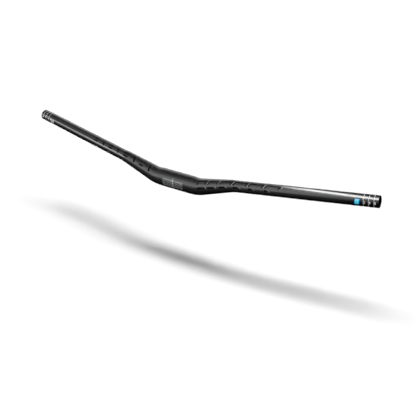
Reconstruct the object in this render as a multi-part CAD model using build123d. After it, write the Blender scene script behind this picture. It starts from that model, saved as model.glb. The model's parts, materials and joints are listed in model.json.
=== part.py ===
from build123d import *
from math import radians, tan
import os

# Riser handlebar: one aluminium tube, butted, tapered and bent twice on each side, open at both ends.
# Millimetres and degrees. The origin is the middle of the clamp seat, where the stem holds the bar.
# +X runs along the seat to the right end, +Y back towards the rider, +Z up.

# Driving dimensions of the line
WIDTH = 800.0  # between the centres of the two open ends
CLAMP_SEAT = 70.0  # straight middle at full diameter
SHOULDER = 6.5  # straight run from the seat to the lower bend
RISE = 21.5  # height of the upper bend's corner over the seat's axis
RISER_ANGLE = 15.5  # slope of the run between the two bends
LOWER_BEND_RADIUS = 70.0
UPPER_BEND_RADIUS = 70.0
BACKSWEEP = 9.0  # grip's turn towards the rider, seen from above
UPSWEEP = 5.0  # grip's slope

# Driving dimensions of the section
CLAMP_DIAMETER = 35.0
GRIP_DIAMETER = 22.2
CLAMP_WALL = 2.5
GRIP_WALL = 1.9
END_CHAMFER = 0.4  # on both edges of each open end


def arm_line():
    """Centre line of the right arm: straight runs and tangent arcs from the seat's end to the open end."""
    seat_end = Vector(CLAMP_SEAT / 2, 0, 0)
    lower_tangent = LOWER_BEND_RADIUS * tan(radians(RISER_ANGLE / 2))
    lower_corner = seat_end + Vector(SHOULDER + lower_tangent, 0, 0)
    upper_corner = lower_corner + Vector(RISE / tan(radians(RISER_ANGLE)), 0, RISE)
    grip = Vector(1, 0, 0).rotate(Axis.Y, -UPSWEEP).rotate(Axis.Z, BACKSWEEP)
    open_end = upper_corner + grip * ((WIDTH / 2 - upper_corner.X) / grip.X)
    bend_radii = [LOWER_BEND_RADIUS, UPPER_BEND_RADIUS]
    return FilletPolyline(seat_end, lower_corner, upper_corner, open_end, radius=bend_radii)


def section(line, distance, radius):
    """Disc across the line, at a distance along it."""
    point = line.position_at(distance, PositionMode.LENGTH)
    direction = line.tangent_at(distance, PositionMode.LENGTH)
    return Plane(point, z_dir=direction) * Circle(radius)


def rod(line, clamp_radius, grip_radius):
    """Solid along the whole bar: cylinders at the seat and the grips, an even taper through the bends."""
    *taper_edges, grip_edge = line.edges()
    taper_length = sum(edge.length for edge in taper_edges)
    sections = [section(line, 0, clamp_radius)]
    distance = 0.0
    for edge in taper_edges:
        distance += edge.length
        radius = clamp_radius + (grip_radius - clamp_radius) * distance / taper_length
        sections.append(section(line, distance, radius))
    bends = sweep(sections, path=Wire(taper_edges), multisection=True)
    grip = extrude(sections[-1], amount=grip_edge.length)
    arm = bends + grip
    seat = extrude(Plane.YZ * Circle(clamp_radius), amount=CLAMP_SEAT / 2, both=True)
    return seat + arm + mirror(arm, about=Plane.YZ)


def handlebar():
    """The tube: outside less bore, with every edge of the open ends broken."""
    line = arm_line()
    clamp_radius = CLAMP_DIAMETER / 2
    grip_radius = GRIP_DIAMETER / 2
    outside = rod(line, clamp_radius, grip_radius)
    bore = rod(line, clamp_radius - CLAMP_WALL, grip_radius - GRIP_WALL)
    tube = outside - bore
    end_edges = tube.faces().filter_by(GeomType.PLANE).edges()
    return chamfer(end_edges, END_CHAMFER)


os.makedirs("parts", exist_ok=True)
export_step(handlebar(), "parts/handlebar.step")
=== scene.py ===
import json
from math import ceil, cos, pi, radians, sin, tan

import bmesh
import bpy
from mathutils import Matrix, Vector

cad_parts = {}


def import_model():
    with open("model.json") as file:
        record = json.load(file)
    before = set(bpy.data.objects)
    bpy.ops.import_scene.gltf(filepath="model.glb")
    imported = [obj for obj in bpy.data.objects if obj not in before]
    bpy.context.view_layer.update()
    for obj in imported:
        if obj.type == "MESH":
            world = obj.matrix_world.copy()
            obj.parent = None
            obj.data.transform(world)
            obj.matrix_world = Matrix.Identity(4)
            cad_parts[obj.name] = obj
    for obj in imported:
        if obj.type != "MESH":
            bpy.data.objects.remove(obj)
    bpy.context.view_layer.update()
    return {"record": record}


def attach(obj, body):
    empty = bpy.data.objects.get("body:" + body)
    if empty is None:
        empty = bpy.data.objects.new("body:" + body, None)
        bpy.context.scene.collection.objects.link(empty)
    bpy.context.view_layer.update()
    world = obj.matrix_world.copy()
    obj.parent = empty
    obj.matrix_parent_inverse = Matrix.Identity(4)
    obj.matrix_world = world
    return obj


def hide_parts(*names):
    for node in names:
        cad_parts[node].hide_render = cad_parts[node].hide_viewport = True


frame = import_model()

# Riser handlebar: a satin black tube with printed marks, floating over a white studio floor.
# Metres and degrees, in the part's frame: X along the clamp seat, Y back towards the rider, Z up.

MM = 0.001
UP = Vector((0, 0, 1))
mounts = {mount["name"]: mount for mount in frame["record"]["mounts"]}

# Sizes of the tube, from the mounts and the few that the mounts don't tell
CLAMP_RADIUS = mounts["stem_clamp"]["dims"]["r_mm"] * MM
CLAMP_SEAT = mounts["stem_clamp"]["dims"]["length_mm"] * MM
GRIP_RADIUS = mounts["grip_right"]["dims"]["r_mm"] * MM
BORE_RADIUS = mounts["end_bore_right"]["dims"]["r_mm"] * MM
CLAMP_WALL = 2.5 * MM
END_CHAMFER = 0.4 * MM
RISER_ANGLE = 15.5
BEND_RADIUS = 70 * MM

# Corners of the right arm's line: both bends lie over the seat's axis, where y is 0
grip_middle = Vector(mounts["grip_right"]["pos_m"])
grip_direction = Vector(mounts["grip_right"]["axis"]).normalized()
upper_corner = grip_middle - grip_direction * (grip_middle.y / grip_direction.y)
lower_corner = Vector((upper_corner.x - upper_corner.z / tan(radians(RISER_ANGLE)), 0, 0))
riser_direction = (upper_corner - lower_corner).normalized()
seat_direction = Vector((1, 0, 0))
grip_half = mounts["grip_right"]["dims"]["length_mm"] * MM / 2
right_tip = grip_middle + grip_direction * (grip_half + END_CHAMFER)


def straight(start, direction, length):
    """Span of the line that runs straight: its length, and the place at a distance along it."""
    return length, lambda distance: (start + direction * distance, direction)


def bend(start, direction, next_direction):
    """Span of the line that turns from one direction to the next, given in the same way."""
    turn = direction.angle(next_direction)
    inward = (next_direction - direction * direction.dot(next_direction)).normalized()

    def place(distance):
        """Point and direction at a distance along the bend."""
        angle = distance / BEND_RADIUS
        point = start + (direction * sin(angle) + inward * (1 - cos(angle))) * BEND_RADIUS
        return point, direction * cos(angle) + inward * sin(angle)

    return BEND_RADIUS * turn, place


def arm_spans():
    """The right arm's line, from the middle of the seat to the open end."""
    lower_tangent = BEND_RADIUS * tan(seat_direction.angle(riser_direction) / 2)
    upper_tangent = BEND_RADIUS * tan(riser_direction.angle(grip_direction) / 2)
    riser_start = lower_corner + riser_direction * lower_tangent
    riser_end = upper_corner - riser_direction * upper_tangent
    grip_start = upper_corner + grip_direction * upper_tangent
    return [
        straight(Vector((0, 0, 0)), seat_direction, lower_corner.x - lower_tangent),
        bend(lower_corner - seat_direction * lower_tangent, seat_direction, riser_direction),
        straight(riser_start, riser_direction, (riser_end - riser_start).length),
        bend(riser_end, riser_direction, grip_direction),
        straight(grip_start, grip_direction, (right_tip - grip_start).length),
    ]


*INNER_SPANS, GRIP_SPAN = arm_spans()
TAPER_END = sum(length for length, place in INNER_SPANS)
ARM_LENGTH = TAPER_END + GRIP_SPAN[0]


def line(distance):
    """Point and direction of the tube's line. Distance runs from the middle, negative on the left arm."""
    remaining = abs(distance)
    place = GRIP_SPAN[1]
    for length, inner_place in INNER_SPANS:
        if remaining <= length:
            place = inner_place
            break
        remaining -= length
    point, direction = place(remaining)
    if distance < 0:
        point = Vector((-point.x, point.y, point.z))
        direction = Vector((direction.x, -direction.y, -direction.z))
    return point, direction


def radius(distance, clamp_radius=CLAMP_RADIUS, grip_radius=GRIP_RADIUS):
    """Radius at a distance: full at the seat, an even taper through the bends, slim at the grips."""
    share = (abs(distance) - CLAMP_SEAT / 2) / (TAPER_END - CLAMP_SEAT / 2)
    return clamp_radius + (grip_radius - clamp_radius) * min(max(share, 0), 1)


def surface(distance, angle, ring_radius):
    """Point round the line. Angles run from the top towards the front, in degrees."""
    point, direction = line(distance)
    top = (UP - direction * UP.dot(direction)).normalized()
    front = direction.cross(top)
    return point + (top * cos(radians(angle)) + front * sin(radians(angle))) * ring_radius


# What the object's lamps light, and what the floor's lamps light
OBJECT_LIT = bpy.data.collections.new("object_lit")
FLOOR_LIT = bpy.data.collections.new("floor_lit")

# Faces that meet at a wider angle than this keep a sharp edge
SHARP_ANGLE = 30


def new_piece(name, verts, faces, material):
    """Mesh object that rides on the part's only body."""
    mesh = bpy.data.meshes.new(name)
    mesh.from_pydata(verts, [], faces)
    work = bmesh.new()
    work.from_mesh(mesh)
    bmesh.ops.recalc_face_normals(work, faces=work.faces)
    work.to_mesh(mesh)
    work.free()
    mesh.shade_smooth()
    mesh.set_sharp_from_angle(angle=radians(SHARP_ANGLE))
    piece = bpy.data.objects.new(name, mesh)
    bpy.context.scene.collection.objects.link(piece)
    mesh.materials.append(material)
    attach(piece, "root")
    OBJECT_LIT.objects.link(piece)
    return piece


# Materials. A noise has a scale, in features per metre, and a detail, in finer layers of itself.
# Most of its values lie between a low and a high one.
NOISE_LOW = 0.3
NOISE_HIGH = 0.7
CLOUD_DETAIL = 3
COAT_CLOUD_SCALE = 60
COAT_GRAIN_SCALE = 2500
COAT_GRAIN_DETAIL = 2
COAT_DARK = (0.0030, 0.0030, 0.0033)
COAT_PALE = (0.0045, 0.0045, 0.0049)
COAT_ROUGHNESS = (0.185, 0.205)
COAT_RELIEF = 0.05
COAT_RELIEF_DEPTH = 0.02 * MM
INK_CLOUD_SCALE = 400
INK_GRAIN_SCALE = 6000
INK_GRAIN_DETAIL = 1
INK_ROUGHNESS_SPREAD = 0.04
INK_RELIEF = 0.1
INK_RELIEF_DEPTH = 0.01 * MM
PLAIN_GLOSS = 0.5


def new_material(name):
    """Material with a Principled shader, and that shader."""
    material = bpy.data.materials.new(name)
    material.use_nodes = True
    return material, material.node_tree.nodes["Principled BSDF"]


def noise(material, scale, detail):
    """Noise value over the surface, laid out in the piece's own coordinates."""
    nodes = material.node_tree.nodes
    coordinates = nodes.new("ShaderNodeTexCoord")
    node = nodes.new("ShaderNodeTexNoise")
    node.inputs["Scale"].default_value = scale
    node.inputs["Detail"].default_value = detail
    material.node_tree.links.new(coordinates.outputs["Object"], node.inputs["Vector"])
    return node.outputs["Fac"]


def ranged(material, value, low, high):
    """Noise value spread between two levels."""
    node = material.node_tree.nodes.new("ShaderNodeMapRange")
    node.inputs["From Min"].default_value = NOISE_LOW
    node.inputs["From Max"].default_value = NOISE_HIGH
    node.inputs["To Min"].default_value = low
    node.inputs["To Max"].default_value = high
    material.node_tree.links.new(value, node.inputs["Value"])
    return node.outputs["Result"]


def coloured(material, value, dark, pale):
    """Noise value spread between two colours."""
    node = material.node_tree.nodes.new("ShaderNodeMix")
    node.data_type = "RGBA"
    node.inputs["A"].default_value = (*dark, 1)
    node.inputs["B"].default_value = (*pale, 1)
    material.node_tree.links.new(ranged(material, value, 0, 1), node.inputs["Factor"])
    return node.outputs["Result"]


def bumped(material, value, strength, depth):
    """Normal of a fine relief."""
    node = material.node_tree.nodes.new("ShaderNodeBump")
    node.inputs["Strength"].default_value = strength
    node.inputs["Distance"].default_value = depth
    material.node_tree.links.new(value, node.inputs["Height"])
    return node.outputs["Normal"]


def coat_material():
    """Satin black coat of the tube: a fine grain, slightly uneven in tone and gloss."""
    material, shader = new_material("satin_black_coat")
    links = material.node_tree.links
    cloud = noise(material, COAT_CLOUD_SCALE, CLOUD_DETAIL)
    grain = noise(material, COAT_GRAIN_SCALE, COAT_GRAIN_DETAIL)
    links.new(coloured(material, cloud, COAT_DARK, COAT_PALE), shader.inputs["Base Color"])
    links.new(ranged(material, cloud, *COAT_ROUGHNESS), shader.inputs["Roughness"])
    links.new(bumped(material, grain, COAT_RELIEF, COAT_RELIEF_DEPTH), shader.inputs["Normal"])
    return material


def ink_material(name, dark, pale, roughness, gloss=PLAIN_GLOSS):
    """Printed ink: a fine grain, a little uneven in tone and gloss."""
    material, shader = new_material(name)
    links = material.node_tree.links
    cloud = noise(material, INK_CLOUD_SCALE, CLOUD_DETAIL)
    grain = noise(material, INK_GRAIN_SCALE, INK_GRAIN_DETAIL)
    smoothest = roughness - INK_ROUGHNESS_SPREAD
    roughest = roughness + INK_ROUGHNESS_SPREAD
    links.new(coloured(material, cloud, dark, pale), shader.inputs["Base Color"])
    links.new(ranged(material, cloud, smoothest, roughest), shader.inputs["Roughness"])
    links.new(bumped(material, grain, INK_RELIEF, INK_RELIEF_DEPTH), shader.inputs["Normal"])
    shader.inputs["Specular IOR Level"].default_value = gloss
    return material


COAT = coat_material()
WHITE_INK = ink_material(
    "white_ink", dark=(0.70, 0.70, 0.70), pale=(0.80, 0.80, 0.80), roughness=0.45, gloss=0.2)
GREY_INK = ink_material(
    "grey_ink", dark=(0.215, 0.22, 0.225), pale=(0.27, 0.275, 0.28), roughness=0.45)
BLACK_INK = ink_material(
    "black_ink", dark=(0.0045, 0.0032, 0.0035), pale=(0.0065, 0.0046, 0.0050), roughness=0.6, gloss=0.01)
BLUE_INK = ink_material(
    "blue_ink", dark=(0.003, 0.57, 0.96), pale=(0.006, 0.63, 1.0), roughness=0.4)


# The tube
TUBE_SEGMENTS = 128
STRAIGHT_STEP = 6 * MM
BEND_STEP = 1.5 * MM


def stations():
    """Distances along the right arm, close together through the taper and the bends."""
    marks = [0, CLAMP_SEAT / 2, TAPER_END, ARM_LENGTH - END_CHAMFER]
    steps = [STRAIGHT_STEP, BEND_STEP, STRAIGHT_STEP]
    distances = []
    for start, end, step in zip(marks, marks[1:], steps):
        count = ceil((end - start) / step)
        distances += [start + (end - start) * i / count for i in range(count)]
    return distances + [marks[-1]]


def tube():
    """The whole tube as rings: along the outside, over the right end, back inside, over the left end."""
    right = stations()
    along = [-distance for distance in reversed(right)][:-1] + right
    end_rings = [
        (ARM_LENGTH, GRIP_RADIUS - END_CHAMFER),
        (ARM_LENGTH, BORE_RADIUS + END_CHAMFER),
    ]
    rings = [(distance, radius(distance)) for distance in along]
    rings += end_rings
    rings += [
        (distance, radius(distance, CLAMP_RADIUS - CLAMP_WALL, BORE_RADIUS))
        for distance in reversed(along)
    ]
    rings += [(-distance, ring_radius) for distance, ring_radius in reversed(end_rings)]
    turns = [360 * i / TUBE_SEGMENTS for i in range(TUBE_SEGMENTS)]
    verts = [surface(distance, turn, ring_radius) for distance, ring_radius in rings for turn in turns]
    faces = []
    for ring in range(len(rings)):
        this = ring * TUBE_SEGMENTS
        following = (ring + 1) % len(rings) * TUBE_SEGMENTS
        for i in range(TUBE_SEGMENTS):
            j = (i + 1) % TUBE_SEGMENTS
            faces.append((this + i, this + j, following + j, following + i))
    piece = new_piece("handlebar_tube", verts, faces, COAT)
    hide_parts("handlebar")


# Prints stand a little proud of the coat and reach a little under it
PRINT_LIFT = 0.05 * MM
PRINT_SINK = 0.10 * MM
PRINT_STEP = 1.0 * MM


class Print:
    """Thin closed patches of ink that hug the tube, gathered into one piece."""

    def __init__(self):
        self.verts = []
        self.faces = []

    def patch(self, corners):
        """Four-cornered patch. Each corner is (millimetres along the line, degrees from the top)."""
        corners = [(along * MM, angle) for along, angle in corners]
        middle = radius(sum(along for along, angle in corners) / 4)
        flat = [Vector((along, radians(angle) * middle)) for along, angle in corners]
        columns = self.steps(flat[0], flat[1], flat[3], flat[2])
        rows = self.steps(flat[1], flat[2], flat[0], flat[3])
        grid = []
        for row in range(rows + 1):
            for column in range(columns + 1):
                u, v = column / columns, row / rows
                weights = ((1 - u) * (1 - v), u * (1 - v), u * v, (1 - u) * v)
                along = sum(weight * corner[0] for weight, corner in zip(weights, corners))
                angle = sum(weight * corner[1] for weight, corner in zip(weights, corners))
                grid.append((along, angle))
        self.close(grid, columns + 1, rows + 1)

    @staticmethod
    def steps(a, b, c, d):
        """Cells along the longer of two opposite sides, a to b and c to d."""
        return max(1, ceil(max((b - a).length, (d - c).length) / PRINT_STEP))

    def close(self, grid, columns, rows):
        """Top, underside and edge of one patch, from rows of (metres along the line, degrees)."""
        start = len(self.verts)
        count = len(grid)
        for lift in (PRINT_LIFT, -PRINT_SINK):
            self.verts += [surface(along, angle, radius(along) + lift) for along, angle in grid]
        for row in range(rows - 1):
            for column in range(columns - 1):
                a = start + row * columns + column
                quad = (a, a + 1, a + columns + 1, a + columns)
                self.faces.append(quad)
                self.faces.append(tuple(i + count for i in reversed(quad)))
        rim = list(range(columns))
        rim += [row * columns + columns - 1 for row in range(1, rows)]
        rim += [(rows - 1) * columns + column for column in reversed(range(columns - 1))]
        rim += [row * columns for row in reversed(range(1, rows - 1))]
        for a, b in zip(rim, rim[1:] + rim[:1]):
            self.faces.append((start + b, start + a, start + a + count, start + b + count))

    def stroke(self, start, end, width):
        """Straight stroke between two places, with square ends."""
        middle = radius((start[0] + end[0]) / 2 * MM) / MM
        run = Vector((end[0] - start[0], radians(end[1] - start[1]) * middle))
        side = Vector((-run.y, run.x)).normalized() * width / 2
        turn = side.y / middle / radians(1)
        self.patch([
            (start[0] + side.x, start[1] + turn),
            (end[0] + side.x, end[1] + turn),
            (end[0] - side.x, end[1] - turn),
            (start[0] - side.x, start[1] - turn),
        ])

    def ring(self, along, width):
        """Band right round the tube."""
        start = len(self.verts)
        edges = [(-0.5, PRINT_LIFT), (0.5, PRINT_LIFT), (0.5, -PRINT_SINK), (-0.5, -PRINT_SINK)]
        for share, lift in edges:
            distance = (along + share * width) * MM
            self.verts += [
                surface(distance, 360 * i / TUBE_SEGMENTS, radius(distance) + lift)
                for i in range(TUBE_SEGMENTS)
            ]
        for edge in range(len(edges)):
            this = start + edge * TUBE_SEGMENTS
            following = start + (edge + 1) % len(edges) * TUBE_SEGMENTS
            for i in range(TUBE_SEGMENTS):
                j = (i + 1) % TUBE_SEGMENTS
                self.faces.append((this + i, this + j, following + j, following + i))

    def piece(self, name, material, slot):
        """The gathered patches as an object."""
        new_piece(name, self.verts, self.faces, material)


# Sizes of the prints are in millimetres along the line and degrees from the top.
# Cut marks: three rings at each end by their distance from it, each with a round width for a shorter bar.
ARM = ARM_LENGTH / MM
CUT_MARKS = {8.0: "780", 17.2: "760", 26.4: "740"}
CUT_MARK_WIDTH = 0.65
NUMBER_GAP = 2.0
NUMBER_ANGLE = 87
DIGIT_HEIGHT = 1.7
DIGIT_WIDTH = 1.1
DIGIT_PITCH = 1.65
DIGIT_STROKE = 0.55
# Strokes of a plain digit, between points of a box one wide and two high
DIGIT_STROKES = {
    "0": [((0, 0), (1, 0)), ((1, 0), (1, 2)), ((1, 2), (0, 2)), ((0, 2), (0, 0))],
    "4": [((0, 2), (0, 1)), ((0, 1), (1, 1)), ((1, 2), (1, 0))],
    "6": [((1, 2), (0, 2)), ((0, 2), (0, 0)), ((0, 0), (1, 0)), ((1, 0), (1, 1)), ((1, 1), (0, 1))],
    "7": [((0, 2), (1, 2)), ((1, 2), (0.3, 0))],
    "8": [((0, 0), (1, 0)), ((1, 0), (1, 2)), ((1, 2), (0, 2)), ((0, 2), (0, 0)), ((0, 1), (1, 1))],
}


def number(ink, text, along, side):
    """Plain number that runs round the front of the tube, its top towards the open end."""
    degrees_per_mm = 1 / (GRIP_RADIUS / MM * radians(1))
    span = DIGIT_PITCH * (len(text) - 1) + DIGIT_WIDTH
    for place, digit in enumerate(text):
        for ends in DIGIT_STROKES[digit]:
            spots = []
            for x, y in ends:
                across = place * DIGIT_PITCH + x * DIGIT_WIDTH - span / 2
                rise = (y - 1) * DIGIT_HEIGHT / 2
                spots.append((side * (along + rise), NUMBER_ANGLE + side * across * degrees_per_mm))
            ink.stroke(*spots, DIGIT_STROKE)


def cut_marks():
    """Rings and numbers at both ends."""
    rings = Print()
    numbers = Print()
    for from_tip, text in CUT_MARKS.items():
        for side in (1, -1):
            rings.ring(side * (ARM - from_tip), CUT_MARK_WIDTH)
            number(numbers, text, ARM - from_tip + NUMBER_GAP, side)
    rings.piece("cut_marks", WHITE_INK, "print_white")
    numbers.piece("cut_mark_numbers", WHITE_INK, "print_white")


# Clamp grid: slanted hatching with a border, and a line at the middle
GRID_HALF = 23.2
GRID_TOP = 71.5
GRID_BOTTOM = 113.5
GRID_PITCH = 6.4
GRID_SLANT = 17.0
GRID_STROKE = 2.1
GRID_BORDER = 1.1
GRID_END_BORDER = 0.6
HATCH_ROWS = 14
LEAST_WIDTH = 0.15
CENTRE_TOP = 58
CENTRE_BOTTOM = 130
CENTRE_STROKE = 0.7


def hatch(ink, start, end):
    """Slanted lines from the bottom border to the top one, trimmed flush at two distances."""
    count = ceil((end - start + GRID_SLANT) / GRID_PITCH)
    half = GRID_STROKE / 2
    for i in range(count):
        foot = start - GRID_SLANT + (i + 0.5) * GRID_PITCH
        low = max(0, (start + LEAST_WIDTH - half - foot) / GRID_SLANT)
        high = min(1, (end - LEAST_WIDTH + half - foot) / GRID_SLANT)
        if low >= high:
            continue
        grid = []
        for row in range(HATCH_ROWS + 1):
            share = low + (high - low) * row / HATCH_ROWS
            middle = foot + GRID_SLANT * share
            near = max(start, middle - half) * MM
            far = min(end, middle + half) * MM
            across = [near, (near + far) / 2, far]
            angle = GRID_BOTTOM + (GRID_TOP - GRID_BOTTOM) * share
            grid += [(along, angle) for along in across]
        ink.close(grid, len(across), HATCH_ROWS + 1)


def clamp_grid():
    """Hatching on both sides of the middle, its border, and the line at the middle."""
    grid = Print()
    hatch(grid, -GRID_HALF, -CENTRE_STROKE)
    hatch(grid, CENTRE_STROKE, GRID_HALF)
    for angle in (GRID_TOP, GRID_BOTTOM):
        grid.stroke((-GRID_HALF, angle), (GRID_HALF, angle), GRID_BORDER)
    for along in (-GRID_HALF, GRID_HALF):
        grid.stroke((along, GRID_TOP), (along, GRID_BOTTOM), GRID_END_BORDER)
    grid.piece("clamp_grid", GREY_INK, "print_grey")
    centre = Print()
    centre.stroke((0, CENTRE_TOP), (0, CENTRE_BOTTOM), CENTRE_STROKE)
    centre.piece("clamp_centre_line", WHITE_INK, "print_white")


# Stripes on the right arm: slanted brackets parted by thin slashes, over dashes that get shorter
BRACKET_STARTS = [58, 82, 108, 136, 166, 198]
BRACKETS_END = 230
BRACKET_GAP = 5.0
BRACKET_SLANT = 4.0
RAIL_ANGLE = 26
RAIL_STROKE = 2.4
LEG_BOTTOM = 58
LEG_STROKE = 3.0
SLASH_TOP = 16
SLASH_BOTTOM = 58
SLASH_STROKE = 0.8
DASH_ANGLE = 82
DASH_LONGEST = 16.0
DASH_LOSS = 2.2
DASH_STROKE = 3.6
TICK_TOP = 74
TICK_BOTTOM = 90
TICK_GAP = 3.0
TICK_SLANT = 2.5
# Stripes on the left arm: plain slanted bars, with two short dashes between each two
BAR_STARTS = [64, 104, 148, 194, 240]
BAR_TOP = 16
BAR_BOTTOM = 66
BAR_SLANT = 4.0
BAR_STROKE = 3.6
PAIR_ANGLES = [26, 55]
PAIR_LENGTH = 11.0
PAIR_STROKE = 3.0


def right_stripes(black, grey):
    """Brackets open below, a grey slash at each gap, and under each bracket a dash and a grey tick."""
    ends = BRACKET_STARTS[1:] + [BRACKETS_END]
    lean = BRACKET_SLANT / (LEG_BOTTOM - RAIL_ANGLE)
    for place, (near, end) in enumerate(zip(BRACKET_STARTS, ends)):
        far = end - BRACKET_GAP
        top = [(along + BRACKET_SLANT, RAIL_ANGLE) for along in (near, far)]
        bottom = [(along, LEG_BOTTOM) for along in (near, far)]
        black.stroke(*top, RAIL_STROKE)
        black.stroke(top[0], bottom[0], LEG_STROKE)
        black.stroke(top[1], bottom[1], LEG_STROKE)
        gap = far + BRACKET_GAP / 2
        slash = [(gap + lean * (LEG_BOTTOM - angle), angle) for angle in (SLASH_TOP, SLASH_BOTTOM)]
        grey.stroke(*slash, SLASH_STROKE)
        dash_end = near + DASH_LONGEST - place * DASH_LOSS
        black.stroke((near, DASH_ANGLE), (dash_end, DASH_ANGLE), DASH_STROKE)
        tick = dash_end + TICK_GAP
        grey.stroke((tick, TICK_TOP), (tick + TICK_SLANT, TICK_BOTTOM), SLASH_STROKE)


def left_stripes(black):
    """Slanted bars, each with two short dashes between it and the place of the next."""
    for start, end in zip(BAR_STARTS, BAR_STARTS[1:]):
        black.stroke((-start - BAR_SLANT, BAR_TOP), (-start, BAR_BOTTOM), BAR_STROKE)
        middle = (start + end + BAR_SLANT) / 2
        for angle in PAIR_ANGLES:
            ends = [(-middle + reach, angle) for reach in (PAIR_LENGTH / 2, -PAIR_LENGTH / 2)]
            black.stroke(*ends, PAIR_STROKE)


def stripes():
    """Both arms' stripes, gathered by colour."""
    black = Print()
    grey = Print()
    right_stripes(black, grey)
    left_stripes(black)
    black.piece("arm_stripes_black", BLACK_INK, "print_black")
    grey.piece("arm_stripes_grey", GREY_INK, "print_grey")


# Blue accent on the right grip: three slanted bars with thin white lines between
ACCENT_START = 365.6
ACCENT_END = 374.4
ACCENT_TOP = 62
ACCENT_BOTTOM = 113
ACCENT_SLANT = 0.9
ACCENT_BARS = 3
ACCENT_LINE = 0.8


def slanted(ink, start, end):
    """Slanted bar of the accent, between two distances at its half height."""
    lean = ACCENT_SLANT / 2
    ink.patch([
        (start + lean, ACCENT_TOP), (end + lean, ACCENT_TOP),
        (end - lean, ACCENT_BOTTOM), (start - lean, ACCENT_BOTTOM),
    ])


def accent():
    """Blue bars, and white lines between them."""
    blue = Print()
    white = Print()
    pitch = (ACCENT_END - ACCENT_START) / ACCENT_BARS
    for bar in range(ACCENT_BARS):
        start = ACCENT_START + bar * pitch
        slanted(blue, start, start + pitch - ACCENT_LINE)
        if bar < ACCENT_BARS - 1:
            slanted(white, start + pitch - ACCENT_LINE, start + pitch)
    blue.piece("accent_bars", BLUE_INK, "print_blue")
    white.piece("accent_lines", WHITE_INK, "print_white")


# Plain white lines on the left grip, of uneven lengths
DATA_START = 362.0
DATA_LENGTHS = [15.0, 11.0, 13.5, 8.0]
DATA_TOP = 78
DATA_PITCH = 14
DATA_STROKE = 1.2


def data_lines():
    """Lines one under the other, flush towards the middle of the bar."""
    white = Print()
    for row, length in enumerate(DATA_LENGTHS):
        angle = DATA_TOP + row * DATA_PITCH
        white.stroke((-DATA_START - length, angle), (-DATA_START, angle), DATA_STROKE)
    white.piece("data_lines", WHITE_INK, "print_white")


# Stage
FLOOR_HEIGHT = -0.170
FLOOR_HALF = 30.0


def sheet_object(name, corners, material):
    """Flat four-cornered sheet that isn't part of the object."""
    mesh = bpy.data.meshes.new(name)
    mesh.from_pydata([Vector(corner) for corner in corners], [], [(0, 1, 2, 3)])
    mesh.materials.append(material)
    sheet = bpy.data.objects.new(name, mesh)
    bpy.context.scene.collection.objects.link(sheet)
    return sheet


def level_corners(height, x_range, y_range):
    """Corners of a level sheet."""
    (left, right), (front, back) = x_range, y_range
    return [(left, front, height), (right, front, height), (right, back, height), (left, back, height)]


def floor():
    """Matt white floor, which keeps the shadow."""
    material, shader = new_material("white_floor")
    shader.inputs["Base Color"].default_value = (1, 1, 1, 1)
    shader.inputs["Roughness"].default_value = 1
    shader.inputs["Specular IOR Level"].default_value = 0
    reach = (-FLOOR_HALF, FLOOR_HALF)
    sheet = sheet_object("floor", level_corners(FLOOR_HEIGHT, reach, reach), material)
    sheet.visible_diffuse = False
    FLOOR_LIT.objects.link(sheet)


def card(name, corners, axis, stops):
    """Studio card that only reflections show. Its light follows one axis: stops are (place, radiance)."""
    material = bpy.data.materials.new(name)
    material.use_nodes = True
    nodes = material.node_tree.nodes
    links = material.node_tree.links
    nodes.clear()
    coordinates = nodes.new("ShaderNodeTexCoord")
    split = nodes.new("ShaderNodeSeparateXYZ")
    links.new(coordinates.outputs["Object"], split.inputs["Vector"])
    low, high = stops[0][0], stops[-1][0]
    most = max(radiance for place, radiance in stops)
    share = nodes.new("ShaderNodeMapRange")
    share.inputs["From Min"].default_value = low
    share.inputs["From Max"].default_value = high
    links.new(split.outputs[axis], share.inputs["Value"])
    curve = nodes.new("ShaderNodeFloatCurve")
    points = curve.mapping.curves[0].points
    while len(points) < len(stops):
        points.new(0.5, 0.5)
    for point, (place, radiance) in zip(points, stops):
        point.location = ((place - low) / (high - low), radiance / most)
        point.handle_type = "VECTOR"
    curve.mapping.update()
    links.new(share.outputs["Result"], curve.inputs["Value"])
    strength = nodes.new("ShaderNodeMath")
    strength.operation = "MULTIPLY"
    strength.inputs[1].default_value = most
    links.new(curve.outputs["Value"], strength.inputs[0])
    emission = nodes.new("ShaderNodeEmission")
    links.new(strength.outputs["Value"], emission.inputs["Strength"])
    output = nodes.new("ShaderNodeOutputMaterial")
    links.new(emission.outputs["Emission"], output.inputs["Surface"])
    sheet = sheet_object(name, corners, material)
    sheet.visible_camera = False
    sheet.visible_diffuse = False
    sheet.visible_transmission = False
    sheet.visible_shadow = False


def wall(name, a, b, stops):
    """Upright card over the line between two floor points, with stops from its foot to its top."""
    low, high = stops[0][0], stops[-1][0]
    card(name, [(*a, low), (*b, low), (*b, high), (*a, high)], "Z", stops)


def level_card(name, height, x_range, y_range, axis, stops):
    """Level card, with stops along one axis."""
    card(name, level_corners(height, x_range, y_range), axis, stops)


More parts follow.
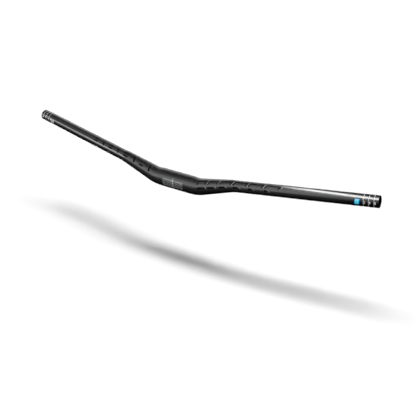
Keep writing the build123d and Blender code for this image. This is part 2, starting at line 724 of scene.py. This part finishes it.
# Upright cards stand on four lines of the floor plan. Each runs from its own start to the start of the next
# or, if it is the last, to the line's end. Each light is a list of (height, radiance).
CARD_FOOT = -0.16
FRONT_LINE = -1.3
FRONT_START = -1.5
FRONT_RIGHT_START = 0.0
FRONT_FAR_START = 0.19
FRONT_END = 1.6
FRONT_LIGHT = [(CARD_FOOT, 0.7), (0.02, 1.9), (0.35, 3.2), (0.75, 2.8), (1.2, 2.2), (2.0, 1.5)]
FRONT_RIGHT_SHARE = 0.73
FRONT_FAR_SHARE = 0.22
LEFT_LINE = -1.7
LEFT_FRONT_START = -1.6
LEFT_START = -0.97
LEFT_END = -0.2
LEFT_FRONT_LIGHT = [
    (CARD_FOOT, 1.3), (0.05, 6.2), (0.2, 10.6), (0.36, 10.6), (0.46, 6.0), (0.6, 2.5), (1.6, 1.2),
]
LEFT_LIGHT = [
    (CARD_FOOT, 0.3), (0.05, 2.8), (0.2, 5.5), (0.36, 5.5), (0.46, 2.5), (0.56, 0.8),
    (0.9, 0.35), (1.15, 0.4), (1.4, 1.1), (1.6, 1.3),
]
RIGHT_LINE = 1.7
RIGHT_START = -1.0
RIGHT_LIGHT = [
    (CARD_FOOT, 0.3), (0.2, 1.0), (0.6, 2.0), (1.0, 4.0), (1.6, 4.0), (1.8, 1.8), (2.0, 1.0),
]
BACK_LINE = 1.4
BACK_LEFT_START = -3.0
BACK_START = -1.5
BACK_RIGHT_START = -0.75
BACK_FAR_START = 0.1
BACK_PALE_LIGHT = [(CARD_FOOT, 1.0), (0.1, 1.3), (0.6, 1.8), (1.1, 1.8), (1.5, 1.6), (2.0, 0.8)]
BACK_LIGHT = [(CARD_FOOT, 0.8), (0.1, 1.05), (0.6, 1.45), (1.1, 1.45), (1.5, 1.0), (2.0, 0.35)]
BACK_RIGHT_LIGHT = [(CARD_FOOT, 0.8), (0.1, 0.6), (0.3, 0.35), (2.0, 0.25)]

# Level cards: just over the floor and overhead, with lights as (place from front to back, radiance)
LEVEL_REACH = 4
UNDER_HEIGHT = -0.165
UNDER_LIGHT = [
    (-1.6, 0.8), (-1.0, 0.55), (-0.4, 0.28), (-0.2, 0.19), (-0.1, 0.07), (-0.03, 0.0), (1.6, 0.0),
]
UNDER_RIGHT_START = 0.3
UNDER_RIGHT_SHARE = 0.3
CEILING_HEIGHT = 2.0
CEILING_LIGHT = [
    (-4, 0.8), (-1.2, 0.8), (-0.7, 0.62), (-0.3, 0.26), (0.2, 0.16), (1.0, 0.16), (4, 0.3),
]
# A paler patch overhead on the left, with its light from left to right
PATCH_DROP = 0.05
PATCH_DEPTH = (-0.5, 1.2)
PATCH_LIGHT = [(-2.1, 0.16), (-1.9, 0.38), (-1.75, 0.52), (-1.62, 0.45), (-1.57, 0.2)]


def dimmed(light, share):
    """Share of a light."""
    return [(place, share * radiance) for place, radiance in light]


def cards():
    """Cards all round the object, under it and over it."""
    front = [(x, FRONT_LINE) for x in (FRONT_START, FRONT_RIGHT_START, FRONT_FAR_START, FRONT_END)]
    wall("front_card", front[0], front[1], FRONT_LIGHT)
    wall("front_right_card", front[1], front[2], dimmed(FRONT_LIGHT, FRONT_RIGHT_SHARE))
    wall("front_far_card", front[2], front[3], dimmed(FRONT_LIGHT, FRONT_FAR_SHARE))
    left = [(LEFT_LINE, y) for y in (LEFT_FRONT_START, LEFT_START, LEFT_END)]
    wall("left_card", left[1], left[2], LEFT_LIGHT)
    wall("left_front_card", left[0], left[1], LEFT_FRONT_LIGHT)
    back_starts = (BACK_LEFT_START, BACK_START, BACK_RIGHT_START, BACK_FAR_START, RIGHT_LINE)
    back = [(x, BACK_LINE) for x in back_starts]
    wall("back_left_card", back[0], back[1], BACK_PALE_LIGHT)
    wall("back_card", back[1], back[2], BACK_LIGHT)
    wall("back_right_card", back[2], back[3], BACK_RIGHT_LIGHT)
    wall("back_far_card", back[3], back[4], BACK_PALE_LIGHT)
    wall("right_card", (RIGHT_LINE, RIGHT_START), (RIGHT_LINE, BACK_LINE), RIGHT_LIGHT)
    wide = (-LEVEL_REACH, LEVEL_REACH)
    level_card("under_card", UNDER_HEIGHT, (-LEVEL_REACH, UNDER_RIGHT_START), wide, "Y", UNDER_LIGHT)
    under_right = dimmed(UNDER_LIGHT, UNDER_RIGHT_SHARE)
    level_card("under_right_card", UNDER_HEIGHT, (UNDER_RIGHT_START, LEVEL_REACH), wide, "Y", under_right)
    level_card("ceiling_card", CEILING_HEIGHT, wide, wide, "Y", CEILING_LIGHT)
    patch = (PATCH_LIGHT[0][0], PATCH_LIGHT[-1][0])
    level_card("ceiling_patch", CEILING_HEIGHT - PATCH_DROP, patch, PATCH_DEPTH, "X", PATCH_LIGHT)


# Overhead strip that the right arm mirrors, slanted across the bar, wider in front and fading to the back
STRIP_HEIGHT = 0.75
STRIP_BACK = Vector((-0.323, 0.757, STRIP_HEIGHT))
STRIP_FRONT = Vector((0.311, -0.585, STRIP_HEIGHT))
STRIP_BACK_WIDTH = 0.105
STRIP_FRONT_WIDTH = 0.175
STRIP_RADIANCE = 28
STRIP_FADE_START = 0.1
STRIP_FADE_KNEE = 0.43
STRIP_KNEE_SHARE = 1 / 3
STRIP_BACK_SHARE = 1 / 4.5
STRIP_LIGHT = [
    (STRIP_FRONT.y, STRIP_RADIANCE),
    (STRIP_FADE_START, STRIP_RADIANCE),
    (STRIP_FADE_KNEE, STRIP_RADIANCE * STRIP_KNEE_SHARE),
    (STRIP_BACK.y, STRIP_RADIANCE * STRIP_BACK_SHARE),
]
# A weak glow on the strip's left, which softens the highlight's lower edge. It is placed along and across
# the strip from the strip's front end.
GLOW_ALONG = (-0.45, 0.12)
GLOW_ACROSS = (0.10, 0.30)
GLOW_LIGHT = [(-0.8, 5.0), (-0.55, 3.7), (-0.3, 2.6), (0.0, 2.4)]


def strip():
    """The overhead strip and its glow."""
    along = (STRIP_FRONT - STRIP_BACK).normalized()
    across = along.cross(UP)
    back_half = across * STRIP_BACK_WIDTH / 2
    front_half = across * STRIP_FRONT_WIDTH / 2
    corners = [
        STRIP_BACK - back_half, STRIP_BACK + back_half,
        STRIP_FRONT + front_half, STRIP_FRONT - front_half,
    ]
    card("overhead_strip", corners, "Y", STRIP_LIGHT)
    back, front = [STRIP_FRONT + along * reach for reach in GLOW_ALONG]
    near, far = [across * reach for reach in GLOW_ACROSS]
    card("strip_glow", [back + near, back + far, front + far, front + near], "Y", GLOW_LIGHT)


# Soft suns, each as (towards the lamp, level, spread in radians). A row of them lights the floor and casts
# the shadow, with levels as the level floor gets them. Two light the object, with levels as a surface that
# faces the lamp gets them. At a level of 1, white looks white.
FLOOR_SUNS = [
    ((-0.50, -0.05, 1), 0.15, 0.32),
    ((-0.24, -0.03, 1), 0.18, 0.30),
    ((-0.08, -0.01, 1), 0.28, 0.30),
    ((0.10, 0.01, 1), 0.21, 0.30),
    ((0.42, 0.09, 1), 0.21, 0.32),
]
KEY_SUN = ((-0.25, -0.70, 0.68), 1.12, 0.6)
BACK_SUN = ((0.20, 0.80, 0.60), 0.30, 0.6)


def sun(name, towards_lamp, level, spread, receivers):
    """Wide soft lamp for some objects only. It isn't seen as a highlight."""
    data = bpy.data.lights.new(name, "SUN")
    data.energy = level * pi
    data.angle = spread
    lamp = bpy.data.objects.new(name, data)
    lamp.rotation_euler = Vector(towards_lamp).to_track_quat("Z", "Y").to_euler()
    lamp.visible_glossy = False
    lamp.light_linking.receiver_collection = receivers
    bpy.context.scene.collection.objects.link(lamp)


def lamps():
    """The floor's suns and the object's two."""
    for place, (towards_lamp, level, spread) in enumerate(FLOOR_SUNS):
        towards_lamp = Vector(towards_lamp).normalized()
        sun(f"floor_sun_{place}", towards_lamp, level / towards_lamp.z, spread, FLOOR_LIT)
    sun("key_sun", *KEY_SUN, OBJECT_LIT)
    sun("back_sun", *BACK_SUN, OBJECT_LIT)


WORLD_FILL = 0.01


def world():
    """White behind everything that the camera and reflections see, and a weak fill for the rest."""
    scene_world = bpy.data.worlds.new("studio")
    bpy.context.scene.world = scene_world
    scene_world.use_nodes = True
    nodes = scene_world.node_tree.nodes
    links = scene_world.node_tree.links
    nodes.clear()
    rays = nodes.new("ShaderNodeLightPath")
    seen = rays.outputs["Is Camera Ray"]
    for kind in ("Is Glossy Ray", "Is Transmission Ray"):
        either = nodes.new("ShaderNodeMath")
        either.operation = "MAXIMUM"
        links.new(seen, either.inputs[0])
        links.new(rays.outputs[kind], either.inputs[1])
        seen = either.outputs["Value"]
    fill = nodes.new("ShaderNodeBackground")
    fill.inputs["Strength"].default_value = WORLD_FILL
    white = nodes.new("ShaderNodeBackground")
    white.inputs["Color"].default_value = (1, 1, 1, 1)
    pick = nodes.new("ShaderNodeMixShader")
    output = nodes.new("ShaderNodeOutputWorld")
    links.new(seen, pick.inputs["Fac"])
    links.new(fill.outputs["Background"], pick.inputs[1])
    links.new(white.outputs["Background"], pick.inputs[2])
    links.new(pick.outputs["Shader"], output.inputs["Surface"])


# Camera at the photo's viewing angle, with its lens and sensor in millimetres
CAMERA_AZIMUTH = 35.067
CAMERA_ELEVATION = 25.479
CAMERA_DISTANCE = 1.5233
CAMERA_TARGET = Vector((0.07203, 0, -0.03923))
CAMERA_LENS = 68.52
CAMERA_SENSOR = 36.0
CLIP_START = 0.01
CLIP_END = 200


def camera():
    """Camera that looks at its target."""
    azimuth, elevation = radians(CAMERA_AZIMUTH), radians(CAMERA_ELEVATION)
    back = Vector((sin(azimuth) * cos(elevation), -cos(azimuth) * cos(elevation), sin(elevation)))
    data = bpy.data.cameras.new("camera")
    data.sensor_fit = "HORIZONTAL"
    data.sensor_width = CAMERA_SENSOR
    data.lens = CAMERA_LENS
    data.clip_start = CLIP_START
    data.clip_end = CLIP_END
    eye = bpy.data.objects.new("camera", data)
    eye.location = CAMERA_TARGET + back * CAMERA_DISTANCE
    eye.rotation_euler = back.to_track_quat("Z", "Y").to_euler()
    bpy.context.scene.collection.objects.link(eye)
    bpy.context.scene.camera = eye


tube()
cut_marks()
clamp_grid()
stripes()
accent()
data_lines()
floor()
cards()
strip()
lamps()
world()
camera()
bpy.context.scene.view_settings.view_transform = "Standard"
